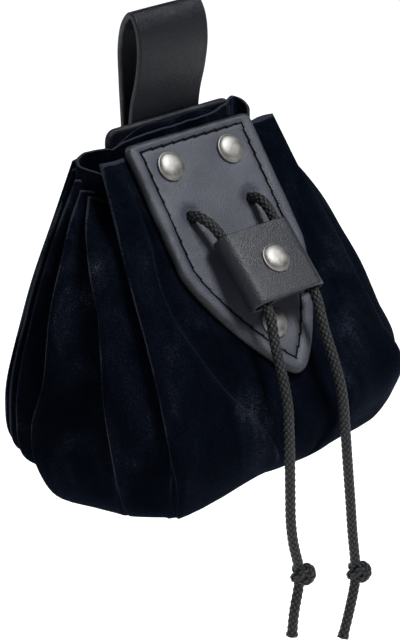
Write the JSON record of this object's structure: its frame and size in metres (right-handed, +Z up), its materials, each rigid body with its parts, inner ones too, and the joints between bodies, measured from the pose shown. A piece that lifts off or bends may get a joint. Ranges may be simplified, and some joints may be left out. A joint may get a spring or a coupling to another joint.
{
  "type": "belt pouch",
  "caption": "Pleated velvet belt pouch with leather plates, a hanging belt loop, domed rivets, a drawcord with knotted ends and a sliding leather toggle.",
  "frame": {"origin": "middle of the belt loop's inner top, where a belt carries the pouch", "axes": "+Z up, -Y to the pouch's front, +X to the right as seen from the front"},
  "size_m": [0.1278, 0.0737, 0.1868],
  "materials": {
    "velvet": "napped",
    "leather": "satin",
    "rivet_metal": "polished",
    "cord": "waxed"
  },
  "bodies": {
    "root": {"velvet_bag": "velvet", "front_plate": "leather", "back_plate": "leather", "belt_loop": "leather", "toggle": "leather", "rivet_front_left": "rivet_metal", "rivet_front_right": "rivet_metal", "rivet_tip": "rivet_metal", "toggle_rivet": "rivet_metal", "rivet_loop_left": "rivet_metal", "rivet_loop_right": "rivet_metal", "cord_left": "cord", "cord_right": "cord", "drawcord_inside": "cord", "knot_left": "cord", "knot_right": "cord"}
  },
  "joints": []
}
